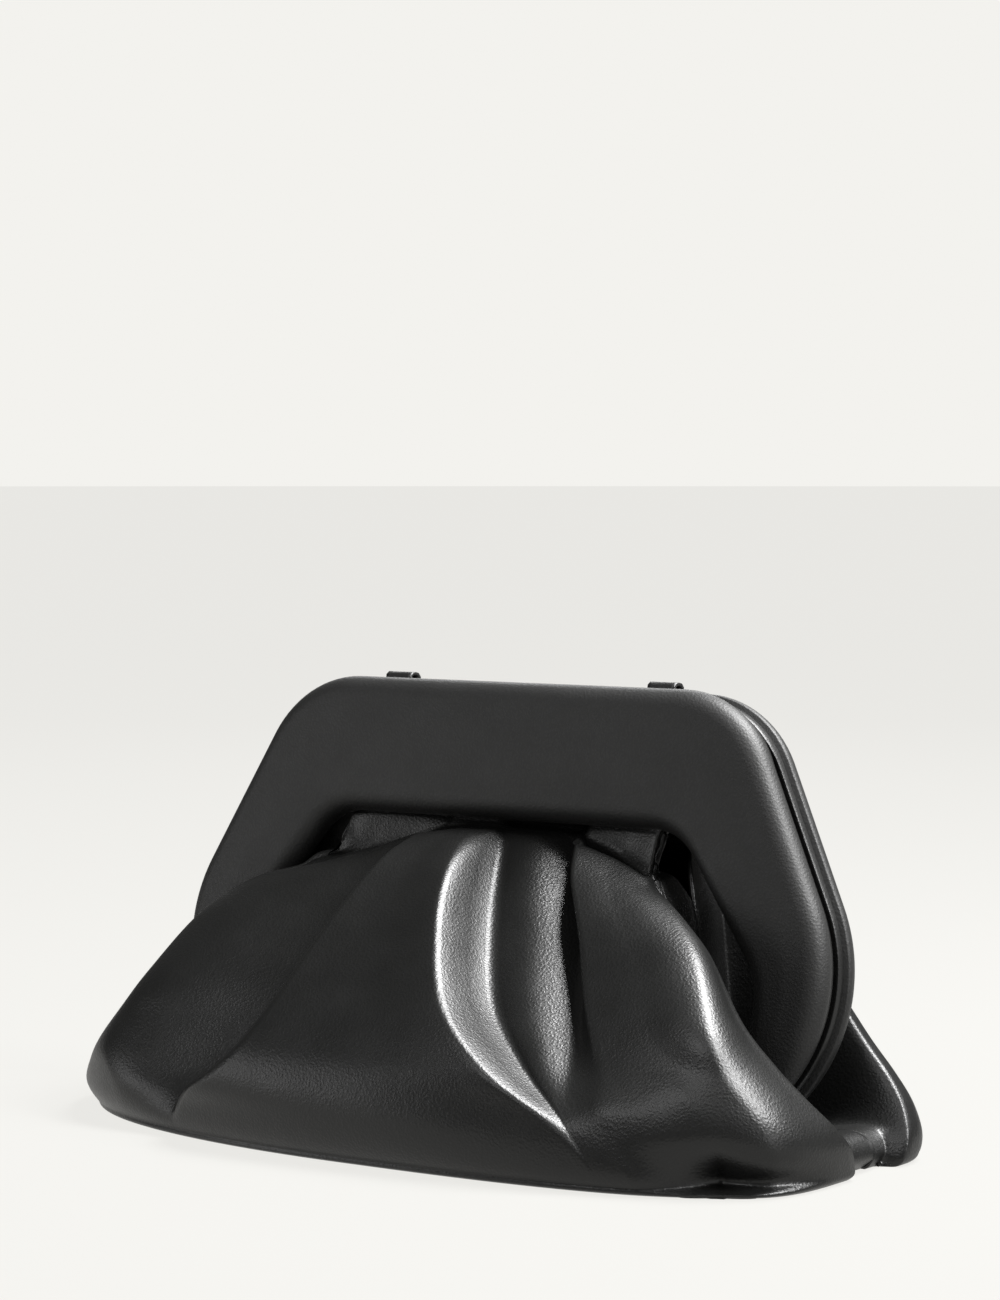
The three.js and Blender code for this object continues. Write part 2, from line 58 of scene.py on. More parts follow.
camera_data = bpy.data.cameras.new("camera")
camera = bpy.data.objects.new("camera", camera_data)
bpy.context.scene.collection.objects.link(camera)
camera.location = (0.865481, -1.208921, 0.270855)
look = Vector((-0.57283931, 0.81809932, -0.05068169))
camera.rotation_euler = look.to_track_quat("-Z", "Y").to_euler()
camera_data.sensor_fit = "VERTICAL"
camera_data.sensor_height = SENSOR
camera_data.lens = SENSOR * FOCAL_LENGTH / PHOTO_HEIGHT
camera_data.clip_end = 50
bpy.context.scene.camera = camera
print("lens", round(camera_data.lens, 2), "mm")

# %% [markdown]
# Every length below is in millimetres and is measured from the frame's foot line, as a maker
# would do it. The bag's origin is on the floor under the middle of its box, so each finished
# point moves by the same small step and is turned into metres.

# %% From the maker's measures to the bag's frame
STEP = np.array([1.5894546508789062, 18.22760772705078, 0.0])  # to the bag's origin
LEAN = math.radians(9.2)  # of each frame half
SIN, COS = math.sin(LEAN), math.cos(LEAN)


def to_bag(s, d):
    """y and z of a point s up the leaning frame and d behind its middle plane."""
    return s * SIN + d * COS, s * COS - d * SIN


def plane_y(z, d):
    """y at height z of the leaning plane that stands d behind the middle one."""
    return z * math.tan(LEAN) + d / COS


def in_metres(points):
    return (np.asarray(points) + STEP) / 1000


def smooth(v):
    """0 below 0, 1 above 1, with an even swing between."""
    v = np.clip(v, 0.0, 1.0)
    return v * v * (3 - 2 * v)


def mix(a, b, k):
    return a + (b - a) * k


def new_piece(name, bm, material, node):
    """Writes a bmesh to an object that rides on the bag and stands for a CAD node."""
    mesh = bpy.data.meshes.new(name)
    bm.to_mesh(mesh)
    bm.free()
    for p in mesh.polygons:
        p.use_smooth = True
    piece = bpy.data.objects.new(name, mesh)
    bpy.context.scene.collection.objects.link(piece)
    mesh.materials.append(material)
    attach(piece, "root")
    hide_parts(node)
    print(name, len(mesh.polygons), "faces")
    return piece


# %% [markdown]
# Materials are built from nodes. Writing each node by hand is long, so a small class wraps a
# socket and lets ordinary sums such as 1 - mask make the Math nodes.

# %% Shader helpers
class Wire:
    """The output of a node. Sums on it add Math nodes to its tree."""

    def __init__(self, maker, socket):
        self.maker, self.socket = maker, socket

    def _sum(self, operation, *values):
        sockets = dict(enumerate(values))
        return self.maker.node("ShaderNodeMath", {"operation": operation}, sockets)

    def __add__(self, other):
        return self._sum("ADD", self, other)

    def __radd__(self, other):
        return self._sum("ADD", other, self)

    def __rsub__(self, other):
        return self._sum("SUBTRACT", other, self)

    def __mul__(self, other):
        return self._sum("MULTIPLY", self, other)

    def ramp(self, low, high):
        """0 below low, 1 above high, smooth between."""
        return self.maker.node("ShaderNodeMapRange", {"interpolation_type": "SMOOTHSTEP"},
                               {"Value": self, "From Min": low, "From Max": high}, "Result")


class Maker:
    """Builds one material."""

    def __init__(self, name):
        self.material = bpy.data.materials.new(name)
        self.material.use_nodes = True
        self.tree = self.material.node_tree
        self.tree.nodes.clear()

    def node(self, kind, settings=(), sockets=(), output=0):
        """Adds a node. A Wire among its sockets is linked, any other value is set."""
        made = self.tree.nodes.new(kind)
        for key, value in dict(settings).items():
            setattr(made, key, value)
        for key, value in dict(sockets).items():
            if isinstance(value, Wire):
                self.tree.links.new(value.socket, made.inputs[key])
            else:
                made.inputs[key].default_value = value
        return Wire(self, made.outputs[output]) if len(made.outputs) else None

    def blend(self, factor, a, b):
        """Mixes two colours."""
        return self.node("ShaderNodeMix", {"data_type": "RGBA"}, {0: factor, 6: a, 7: b}, 2)

    def noise(self, where, scale, detail, rough):
        return self.node("ShaderNodeTexNoise", {}, {
            "Vector": where, "Scale": scale, "Detail": detail, "Roughness": rough})

    def finish(self, shader):
        self.node("ShaderNodeOutputMaterial", {}, {"Surface": shader})
        return self.material


# %% [markdown]
# The leather is near-black with a faint green-grey cast. Its grain is a fine pebble, about a
# millimetre across, and it has a satin gloss. A cell pattern gives the pebbles, and slower
# noise gives the shallow unevenness that breaks up the highlights.

# %% Leather
PEBBLE_HEIGHT, CRINKLE_HEIGHT = 0.00010, 0.0016  # metres
BEND = 0.0012                                    # metres that the cells are warped by


def leather(name, colour, roughness, grain, crinkle):
    """grain and crinkle: how strong the pebbles and the slower unevenness are."""
    m = Maker(name)
    place = m.node("ShaderNodeTexCoord", {}, {}, "Object")
    warp = m.node("ShaderNodeTexNoise", {}, {"Vector": place, "Scale": 500.0, "Detail": 1.0}, 1)
    bent = m.node("ShaderNodeVectorMath", {"operation": "MULTIPLY_ADD"},
                  {0: warp, 1: (BEND, BEND, BEND), 2: place})
    cells = m.node("ShaderNodeTexVoronoi", {"feature": "SMOOTH_F1"},
                   {"Vector": bent, "Scale": 900.0, "Smoothness": 0.4})
    pebble = 1 - cells.ramp(0.1, 0.75)
    fine = m.noise(place, 2600.0, 2.0, 0.6)
    slow = m.noise(place, 60.0, 3.0, 0.5)
    cloud = m.noise(place, 14.0, 2.0, 0.5)
    pebbles = m.node("ShaderNodeBump", {}, {
        "Strength": grain, "Distance": PEBBLE_HEIGHT, "Height": pebble * 0.8 + fine * 0.35})
    surface = m.node("ShaderNodeBump", {}, {
        "Strength": crinkle, "Distance": CRINKLE_HEIGHT, "Height": slow, "Normal": pebbles})
    dark = tuple(c * 0.8 for c in colour) + (1,)
    light = tuple(c * 1.25 for c in colour) + (1,)
    base = m.blend(cloud.ramp(0.3, 0.7) * 0.6 + pebble * 0.4, dark, light)
    rough = roughness - 0.05 + slow * 0.10 + (1 - pebble) * 0.05
    return m.finish(m.node("ShaderNodeBsdfPrincipled", {}, {
        "Base Color": base, "Roughness": rough, "Normal": surface, "Specular IOR Level": 0.5,
    }))


padded_leather = leather("padded leather", (0.0095, 0.0095, 0.0093), 0.50, 0.7, 0.08)
backing_leather = leather("backing leather", (0.0052, 0.0052, 0.0050), 0.40, 0.6, 0.10)
pouch_leather = leather("pouch leather", (0.0045, 0.0046, 0.0044), 0.35, 0.7, 0.14)
loop_leather = leather("loop leather", (0.0060, 0.0060, 0.0058), 0.40, 0.6, 0.10)

# %% [markdown]
# Frame outline: each arch is a polygon with rounded corners. The half outline is worked out
# once as two lines, the outer edge and the mouth, that start together at the foot's lowest
# point and run to the middle of the top. A pad is then a strip between them.

# %% Arch outline
CORNERS = {  # x, height up the frame, radius
    "top": (109.1, 181.5, 46.7), "hip": (169.0, 62.7, 68.0), "tip outer": (130.5, 12.0, 9.0),
    "tip inner": (113.0, 12.0, 9.0), "knee": (127.8, 66.0, 30.0), "mouth": (84.7, 125.0, 24.0),
}
TOP, MOUTH_TOP = CORNERS["top"][1], CORNERS["mouth"][1]
ARC_STEPS = 24


def rounded(points):
    """Open line through corners (x, s, radius), each corner an arc."""
    line = [np.array(points[0][:2])]
    for before, corner, after in zip(points, points[1:], points[2:]):
        p, radius = np.array(corner[:2]), corner[2]
        a = np.array(before[:2]) - p
        b = np.array(after[:2]) - p
        a, b = a / np.linalg.norm(a), b / np.linalg.norm(b)
        half = math.acos(np.clip(a @ b, -1, 1)) / 2
        centre = p + (a + b) / np.linalg.norm(a + b) * radius / math.sin(half)
        start = p + a * radius / math.tan(half) - centre
        end = p + b * radius / math.tan(half) - centre
        a0 = math.atan2(start[1], start[0])
        turn = (math.atan2(end[1], end[0]) - a0 + math.pi) % (2 * math.pi) - math.pi
        for k in range(ARC_STEPS + 1):
            t = a0 + turn * k / ARC_STEPS
            line.append(centre + radius * np.array([math.cos(t), math.sin(t)]))
    line.append(np.array(points[-1][:2]))
    return np.array(line)


def along(line, share):
    """Points at shares of a line's length."""
    steps = np.r_[0, np.cumsum(np.linalg.norm(np.diff(line, axis=0), axis=1))]
    return np.stack([np.interp(share * steps[-1], steps, line[:, i]) for i in (0, 1)], -1)


def arch_lines(inset=0.0, mouth_rise=0.0, knee_rise=0.0):
    """Outer edge and mouth edge, both inset, with the mouth made higher and wider."""
    c = CORNERS
    tip, mouth = c["tip outer"], c["mouth"]
    foot = (0.5 * (tip[0] + c["tip inner"][0]), tip[1])
    outer = rounded([foot, tip, c["hip"], c["top"], (0, TOP)])
    inner = rounded([foot, c["tip inner"], (c["knee"][0] + knee_rise, *c["knee"][1:]),
                     (mouth[0] + knee_rise, mouth[1] + mouth_rise, mouth[2]),
                     (0, mouth[1] + mouth_rise)])

    def moved(line, turn):
        step = np.gradient(line, axis=0)
        normal = np.stack([step[:, 1], -step[:, 0]], -1) * turn
        normal /= np.linalg.norm(normal, axis=1)[:, None]
        out = line + normal * inset
        out[-1, 0] = 0
        out[0] = (foot[0], foot[1] + inset)
        return out

    return moved(outer, -1), moved(inner, 1)


pad_lines = arch_lines()
edge_length = np.linalg.norm(np.diff(pad_lines[0], axis=0), axis=1).sum()
print("outer edge", round(float(edge_length)), "mm a side")

# %% [markdown]
# Padded panels: foam between a leather cover and the board, so the face is crowned and the
# edges round over. Each panel is a tube of quads: around its section, and along the arch from
# foot to foot, where it closes in a point. A grid makes the quads, and its points then move.

# %% Arch pieces
STATIONS = 220   # along the arch
CHUNK = 4000     # points measured at a time, to spare memory
MIDDLE = 1e3     # an inset so large that it ends in the middle between the two edges


def distance_to(points, lines):
    """Distance from each point to the nearest of the lines."""
    best = np.full(points.shape[0], 1e9)
    for line in lines:
        a, b = line[:-1], line[1:]
        ab = b - a
        size = np.maximum((ab ** 2).sum(1), 1e-12)
        for i in range(0, points.shape[0], CHUNK):
            p = points[i:i + CHUNK, None, :]
            k = np.clip(((p - a) * ab).sum(2) / size, 0, 1)
            d = np.linalg.norm(p - (a + ab * k[..., None]), axis=2).min(1)
            best[i:i + CHUNK] = np.minimum(best[i:i + CHUNK], d)
    return best


def section_ring(section):
    """Rows (rear, inset, from the mouth's edge) once round a section. They run over the face
    from the outer edge to the mouth, and back over the rear."""
    ring = []
    for rear, insets in ((False, section["face"]), (True, section["rear"])):
        ring += [(rear, k, rear) for k in insets]
        ring += [(rear, MIDDLE, rear)]
        ring += [(rear, k, not rear) for k in reversed(insets)]
    return ring


def arch_piece(name, side, lines, section, depth, material, node):
    """section: insets from the edge, over the face and over the rear; depth(distance to the
    edge, rear, inset, place): how far from the middle plane a point stands."""
    ring = section_ring(section)
    bm = bmesh.new()
    bmesh.ops.create_grid(bm, x_segments=STATIONS, y_segments=len(ring), size=1.0)
    verts = list(bm.verts)
    share = np.array([v.co.x for v in verts])
    row = np.rint((np.array([v.co.y for v in verts]) + 1) / 2 * len(ring)).astype(int)
    rear, inset, flip = (np.array(column)[row % len(ring)] for column in zip(*ring))
    k = np.clip(1 - np.abs(share), 0, 1) ** 1.5  # the stations crowd towards the feet
    outer, inner = along(lines[0], k), along(lines[1], k)
    across = np.linalg.norm(inner - outer, axis=1)
    half = across / 2
    e = half * np.tanh(inset / np.maximum(half, 1e-6))
    way = np.where(flip, across - e, e) / np.maximum(across, 1e-6)
    flat = outer + (inner - outer) * way[:, None]
    d = depth(distance_to(flat, lines), rear, inset, flat)
    x = np.where(share < 0, -1, 1) * flat[:, 0]
    y, z = to_bag(flat[:, 1], side * d)
    for v, p in zip(verts, in_metres(np.stack([x, y, z], -1))):
        v.co = p
    bmesh.ops.remove_doubles(bm, verts=bm.verts, dist=1e-5)
    bmesh.ops.recalc_face_normals(bm, faces=bm.faces)
    return new_piece(name, bm, material, node)


# Half the space between the boards, a board, a pad, and the fit between two layers
GAP, BOARD, PAD, FIT = 2.0, 4.2, 10.0, 0.3
CREASE = GAP + BOARD + FIT  # where a board and its pad meet
FACE = CREASE + PAD
PAD_RIM, PAD_EDGE = 1.8, 8                      # height of its rim, and width of the rounding
CROWN, CROWN_START, CROWN_WIDTH = 0.7, 6, 20    # how far the face swells, and from where
REAR_EASE = 0.6                                 # how far the rear's edge is eased


def pad_depth(far, rear, inset, flat):
    round_in = 1 - (1 - np.clip(far / PAD_EDGE, 0, 1)) ** 2
    crown = CROWN * smooth((far - CROWN_START) / CROWN_WIDTH)
    face = CREASE + PAD_RIM + (PAD - PAD_RIM) * np.sqrt(round_in) + crown
    back = CREASE + np.where(inset < 0.5, REAR_EASE, 0.0)
    return np.where(rear, back, face)


pad_section = {
    "face": [0.0, 0.06, 0.2, 0.45, 0.9, 1.6, 2.6, 4.0, 5.6, 7.5, 10, 14, 19, 26],
    "rear": [0.35, 0.84],
}
front_pad = arch_piece("front_padding", -1, pad_lines, pad_section, pad_depth,
                       padded_leather, "front_panel")
back_pad = arch_piece("back_padding", 1, pad_lines, pad_section, pad_depth,
                      padded_leather, "back_panel")

# %% [markdown]
# Backing boards: a stiff board wrapped in the same leather sits behind each panel. Near the
# top the two boards close on each other, and lower down they leave a thin dark gap.

# %% Backing boards
BOARD_INSET = 2.4                 # inside the pad's outline
BOARD_MOUTH, BOARD_KNEE = 5.6, 5  # how much higher and wider its mouth is
BOARD_EDGE = 0.5                  # rounding of its edges
CLOSING = 30                      # the boards close in the lower half of this top part


def board_depth(far, rear, inset, flat):
    near = mix(GAP, FIT, smooth((flat[:, 1] - (TOP - CLOSING)) / CLOSING * 2))
    round_in = 1 - (1 - np.clip(far / BOARD_EDGE, 0, 1)) ** 2
    edge = BOARD_EDGE * (1 - np.sqrt(np.clip(round_in, 0, 1)))
    return np.where(rear, near + edge, GAP + BOARD - edge)


board_section = {
    "face": [0.0, 0.1, 0.3, 0.6, 1.5, 5.0, 12.0],
    "rear": [0.1, 0.3, 0.6, 1.5, 5.0, 12.0],
}
board_lines = arch_lines(BOARD_INSET, BOARD_MOUTH, BOARD_KNEE)
for side, name in ((-1, "front"), (1, "back")):
    arch_piece(name + "_board", side, board_lines, board_section, board_depth,
               backing_leather, name + "_backing")

# %% [markdown]
# The pouch is one sheet of soft leather a side. It is glued behind the frame's top bar, comes
# out through the mouth, swells forward and stands on the floor. Its main form comes from a
# table of sections, from the hem down to the bottom seam. u runs across from -1 to 1, and t
# counts the sections down.
#
# Heights in the tables are shares of the mouth's height. left, right and end are shares of the
# way from the mouth's half width to the pouch's, and out, side and tail are shares of the bulge.
# foot gives left, right, end, out and side where the sheet reaches the floor.

# %% Pouch sections
HEM, HEM_HALF, POUCH_HALF = 7.0, 76.0, 182.0
MOUTH = to_bag(MOUTH_TOP, -CREASE)[1]
SHOULDER, NECK = 0.74, 0.90       # u where the front ends, and where the neck ends
SEAM_GAP = 0.03                   # from each sheet to the seam's middle, low down
SEAM_JOIN, SEAM_BACK = 88.0, 7.5  # height where the sheets start to part, and the seam's y
FRONT = dict(side=-1, bulge=90.0, foot=(0.910, 0.940, 0.870, 0.880, 0.000), rows=[
    # height, left, right, drop, out, side, end, end height, tail
    (0.960, 0.150, 0.040, 0.080, 0.100, 0.030, 0.080, 0.850, 0.010),
    (0.880, 0.300, 0.130, 0.085, 0.300, 0.075, 0.130, 0.730, 0.035),
    (0.700, 0.460, 0.400, 0.032, 0.560, 0.200, 0.170, 0.540, 0.060),
    (0.490, 0.575, 0.640, 0.008, 0.820, 0.330, 0.210, 0.345, 0.070),
    (0.357, 0.680, 0.790, 0.000, 0.935, 0.310, 0.285, 0.185, 0.070),
    (0.260, 0.795, 0.900, 0.000, 0.985, 0.250, 0.430, 0.062, 0.070),
    (0.180, 0.900, 0.960, 0.000, 1.000, 0.160, 0.660, 0.098, 0.060),
    (0.097, 0.985, 0.985, 0.000, 0.985, 0.050, 0.860, 0.112, 0.000),
    (0.032, 0.965, 0.990, 0.000, 0.945, 0.000, 0.930, 0.052, -0.040),
])
BACK = dict(side=1, bulge=48.0, foot=(0.930, 0.960, 0.890, 0.860, 0.060), rows=[
    (0.945, 0.150, 0.100, 0.070, 0.120, 0.050, 0.070, 0.850, 0.020),
    (0.860, 0.290, 0.250, 0.060, 0.310, 0.140, 0.120, 0.730, 0.060),
    (0.700, 0.430, 0.430, 0.030, 0.520, 0.200, 0.160, 0.540, 0.090),
    (0.490, 0.610, 0.610, 0.008, 0.750, 0.250, 0.200, 0.345, 0.110),
    (0.357, 0.735, 0.735, 0.000, 0.880, 0.260, 0.275, 0.185, 0.110),
    (0.260, 0.850, 0.850, 0.000, 0.950, 0.240, 0.420, 0.062, 0.100),
    (0.180, 0.930, 0.930, 0.000, 1.000, 0.190, 0.650, 0.098, 0.080),
    (0.097, 0.985, 0.985, 0.000, 0.985, 0.100, 0.850, 0.112, 0.020),
    (0.032, 0.990, 0.990, 0.000, 0.950, 0.050, 0.920, 0.052, -0.020),
])


def seam_y(z, side):
    apart = smooth((z - SEAM_JOIN) / (MOUTH - SEAM_JOIN))
    return max(plane_y(z, 0), SEAM_BACK) + side * (SEAM_GAP + apart * (CREASE - SEAM_GAP))


def section_rows(sheet):
    """Rows of z, left, right, drop, yc, reach, ex, ey, ez, tail."""
    side, bulge = sheet["side"], sheet["bulge"]
    wide = POUCH_HALF - HEM_HALF
    rear = CREASE - FIT
    rows = []
    # The hem lies behind the top bar, and the sheet turns out under the bar
    hem = ((HEM, rear), (HEM * 0.15, rear), (-2.1, rear + 1.2), (-3.9, mix(CREASE, FACE, 0.45)))
    for s, d in hem:
        y, z = to_bag(MOUTH_TOP + s, side * d)
        y -= side * FIT
        rows.append((z, HEM_HALF, HEM_HALF, 0, y, FIT, HEM_HALF + 1, y, z, y))
    for height, left, right, drop, out, at_side, end, end_height, tail in sheet["rows"]:
        z, ez = height * MOUTH, end_height * MOUTH
        yc = plane_y(z, side * FACE) + side * at_side * bulge
        rows.append((z, HEM_HALF + left * wide, HEM_HALF + right * wide, drop * MOUTH,
                     yc, (out - at_side) * bulge, HEM_HALF + end * wide, seam_y(ez, side), ez,
                     plane_y(ez, side * FACE) + side * tail * bulge))
    # The bottom lies on the floor and runs back to the seam, a little narrower at each row
    left, right, end, out, at_side = sheet["foot"]
    seam, face = seam_y(0, side), plane_y(0, side * FACE)
    for inwards, narrow in ((0, 1), (0.5, 0.93), (1, 0.84)):
        yc = mix(face + side * at_side * bulge, seam, inwards)
        front = mix(face + side * out * bulge, seam + side * FIT, inwards)
        rows.append((0, (HEM_HALF + left * wide) * narrow, (HEM_HALF + right * wide) * narrow, 0,
                     yc, abs(front - yc), (HEM_HALF + end * wide) * narrow, seam, 0,
                     mix(yc, seam, 0.5)))
    return np.array(rows, float)


def rows_at(rows, t):
    """Smooth row between the table's rows."""
    n = len(rows)
    i = np.clip(np.floor(t).astype(int), 0, n - 2)
    f = (t - i)[:, None]
    a, b, c, d = (rows[np.clip(i + k, 0, n - 1)] for k in (-1, 0, 1, 2))
    square, cube = 2 * a - 5 * b + 4 * c - d, 3 * b - a - 3 * c + d
    return 0.5 * (2 * b + (c - a) * f + square * f ** 2 + cube * f ** 3)


def between(t, start, end, rise, fall):
    """1 between two sections, easing in over rise and out over fall."""
    return smooth((t - start) / rise) * smooth((end - t) / fall)


def dip(u, t, dips):
    """How far the sheet hangs lower near the mouth's edge."""
    at, behind, crest = np.array(dips, float).T
    gutter = between(t, 1.6, 3.9, 1.5, 0.8)
    lip = between(t, 3.1, 5.4, 0.8, 1.5)
    return np.interp(u, at, behind) * gutter + np.interp(u, at, crest) * lip


CORNER = 0.26                    # how much squarer the right corner is near the floor
HEM_LEFT, HEM_RIGHT = 6.0, -4.0  # how much wider the front sheet is in the mouth's corners
FLOOR_ROWS = 4                   # the last rows: heights run straight there, none dips under


def sheet_points(sheet, rows, u, t, h, dips=()):
    """Points of a sheet in mm, at u across and t down, raised by the fold height h. It has
    three parts each side: the front, which is part of an oval, then the neck, a curve that
    turns in behind the lobe, and the end, flat up to the side seam."""
    side = sheet["side"]
    z0, left, right, drop, yc, reach, ex, ey, ez, tail = rows_at(rows, t).T
    down = np.arange(len(rows))
    low = t > len(rows) - FLOOR_ROWS
    z0 = np.where(low, np.interp(t, down, rows[:, 0]), z0)
    ez = np.where(low, np.interp(t, down, rows[:, 8]), ez)
    a, sx = np.abs(u), np.where(u < 0, -1.0, 1.0)

    half = np.where(u < 0, left, right)
    th = np.clip(a / SHOULDER, 0, 1) * math.pi / 2
    s, c = np.sin(th), np.cos(th)
    nx, ny = s / half, c / np.maximum(4, reach)
    nl = np.hypot(nx, ny)
    square = np.where(u > 0, CORNER, 0.0) * smooth((t - 8.5) / 3.5)
    x1 = half * s ** (0.94 - square) + h * nx / nl
    y1 = yc + side * (reach * np.maximum(c, 0) ** (0.86 - square) + h * ny / nl)
    z1 = z0 - drop * s * s

    k = np.clip((a - SHOULDER) / (NECK - SHOULDER), 0, 1)
    pull = 0.55 * (tail - yc)
    b0, b1, b2, b3 = (1 - k) ** 3, 3 * k * (1 - k) ** 2, 3 * k * k * (1 - k), k ** 3
    x2 = half * (b0 + b1) + ex * (b2 + b3) + h
    y2 = yc * b0 + (yc + pull) * b1 + (tail - pull) * b2 + tail * b3
    z2 = (z0 - drop) * (b0 + b1) + ez * (b2 + b3)

    y3 = mix(tail, ey, np.clip((a - NECK) / (1 - NECK), 0, 1))

    front, neck = a <= SHOULDER, a <= NECK
    x = np.where(front, x1, np.where(neck, x2, ex))
    y = np.where(front, y1, np.where(neck, y2, y3))
    z = np.where(front, z1, np.where(neck, z2, ez))
    if dips:
        z = z - dip(u, t, dips)
        x = x + a * np.where(u < 0, HEM_LEFT, HEM_RIGHT) * between(t, 0.5, 4.6, 2.5, 1.6)
    return np.stack([sx * x, y, np.maximum(z, 0)], -1)


# %% [markdown]
# Folds: the gathered hem throws the leather into lobes and pleats. Each line below follows one
# ridge or valley down the sheet, as points (t, u, height): the section, where the line is
# across, and how far it stands out, in mm. Between two neighbouring lines the height swings
# from one to the other, as leather does between a ridge and a valley. The number after a
# line's name says how sharp it is: 0 is round, 0.5 is a straight flank and 1 is a sharp edge.

# %% Front folds
FRONT_LINES = [
    ("left shoulder", 0, [(3, -0.74, 0), (13, -0.74, 0)]),
    ("left lobe crest", 0, [
        (3.5, -0.60, 0), (4, -0.60, 2), (6, -0.58, 5), (8, -0.54, 6), (9.2, -0.46, 6),
        (10.5, -0.36, 3), (12, -0.36, 0)]),
    ("left valley", 0.3, [
        (3.8, -0.200, -3), (4.6, -0.198, -11), (5.5, -0.193, -16), (7, -0.193, -20),
        (8.5, -0.200, -21), (9.7, -0.217, -15), (10.5, -0.235, -5), (11.4, -0.24, 0)]),
    ("main lobe left edge", 0.6, [
        (3.6, -0.165, 0), (4, -0.16, 3), (5, -0.140, 7), (6, -0.13, 9), (7, -0.130, 10),
        (8, -0.145, 10), (9, -0.17, 9), (10, -0.205, 6), (10.6, -0.225, 0), (12, -0.23, 0)]),
    ("main lobe middle", 0, [
        (3.6, -0.07, 0), (4.2, -0.085, 3), (6, -0.05, 7), (8, 0.0, 8), (10, 0.03, 5),
        (12, 0.0, 1), (13, 0.0, 0)]),
    ("main lobe right shoulder", 0, [
        (3.6, -0.03, 0), (4, -0.025, 4), (5, 0.011, 9), (5.5, 0.037, 11), (6.6, 0.096, 12),
        (7.15, 0.136, 11), (8.4, 0.193, 8), (9.4, 0.236, 3), (11, 0.25, 0), (13, 0.22, 0)]),
    ("pleat wall foot", 0.9, [
        (3.3, 0.005, -5), (4, 0.004, -13), (5, 0.036, -22), (6, 0.078, -24), (7, 0.140, -20),
        (8, 0.199, -13), (9, 0.241, -6), (9.6, 0.256, 0), (13, 0.25, 0)]),
    ("pleat bulge", 0, [
        (3.3, 0.09, -5), (4, 0.085, -12), (5, 0.115, -18), (6, 0.150, -20), (7, 0.198, -16),
        (8, 0.232, -10), (9, 0.253, -5), (9.6, 0.261, 0), (13, 0.26, 0)]),
    ("pleat floor", 0.25, [
        (3.3, 0.205, -10), (4, 0.225, -22), (5, 0.255, -31), (6, 0.268, -32), (7, 0.280, -25),
        (8, 0.278, -15), (9, 0.268, -4), (9.6, 0.265, 0), (13, 0.27, 0)]),
    ("third lobe left edge", 0.5, [
        (3.3, 0.245, 0), (4.2, 0.270, 0), (5.2, 0.297, -1), (6.0, 0.300, -4),
        (6.6, 0.305, -8), (7.3, 0.32, -9), (8.2, 0.33, -5), (9, 0.315, 1), (10, 0.30, 0),
        (13, 0.31, 0)]),
    ("third lobe hollow", 0.5, [
        (3.6, 0.41, 0), (4.5, 0.42, 3), (5.5, 0.43, 4), (6.5, 0.43, 2), (7.2, 0.44, 0),
        (7.9, 0.45, 2), (8.6, 0.46, 6), (9.5, 0.47, 4), (10.2, 0.46, 2), (11.3, 0.455, -12),
        (11.9, 0.452, -17), (12.5, 0.452, -4), (13.2, 0.452, 1), (14, 0.452, 0)]),
    ("third lobe right shoulder", 0.15, [
        (3.6, 0.640, 4), (4.4, 0.650, 10), (5.2, 0.640, 14), (6.1, 0.605, 13),
        (6.65, 0.585, 13), (7.1, 0.57, 12), (7.8, 0.55, 8), (9.5, 0.56, 5), (10.8, 0.57, 2),
        (11.8, 0.58, -8), (12.4, 0.58, 1), (13.2, 0.56, 2), (14, 0.56, 0)]),
    ("right shoulder", 0, [
        (3, 0.74, 0), (5, 0.74, -1), (7, 0.74, -3), (9, 0.74, -3), (10.8, 0.74, 0),
        (11.9, 0.74, -3), (12.5, 0.74, 0), (14, 0.74, 0)]),
]
# Behind the outer lobes the leather dips below the mouth's edge, and their crests hang lower
# than the middle one: u, dip behind the crest and drop of the crest, in mm
FRONT_DIPS = [
    (-1, 10, 5), (-0.74, 12, 7), (-0.5, 14, 8), (-0.3, 9, 5), (-0.2, 3, 1), (-0.1, 0, 0),
    (0.2, 0, 0), (0.28, 4, 0), (0.45, 10, 2), (0.62, 14, 4), (0.74, 14, 5), (1, 10, 3),
]

# %% [markdown]
# The fold lines don't lie on the grid's columns, so the grid is bent to follow them: a crease
# then never cuts across a quad. Each line's points are joined and eased into a smooth curve.

# %% Fold heights
T_END, T_STEP = 15, 0.05
EASE = 6.0                  # width of the easing, in steps of T_STEP
EASE_REACH = 18
LOBES = slice(80, 220)      # steps t = 4 to 11, where the lobes are full
LEAST_WIDTH = 0.045         # least share of the grid between two lines


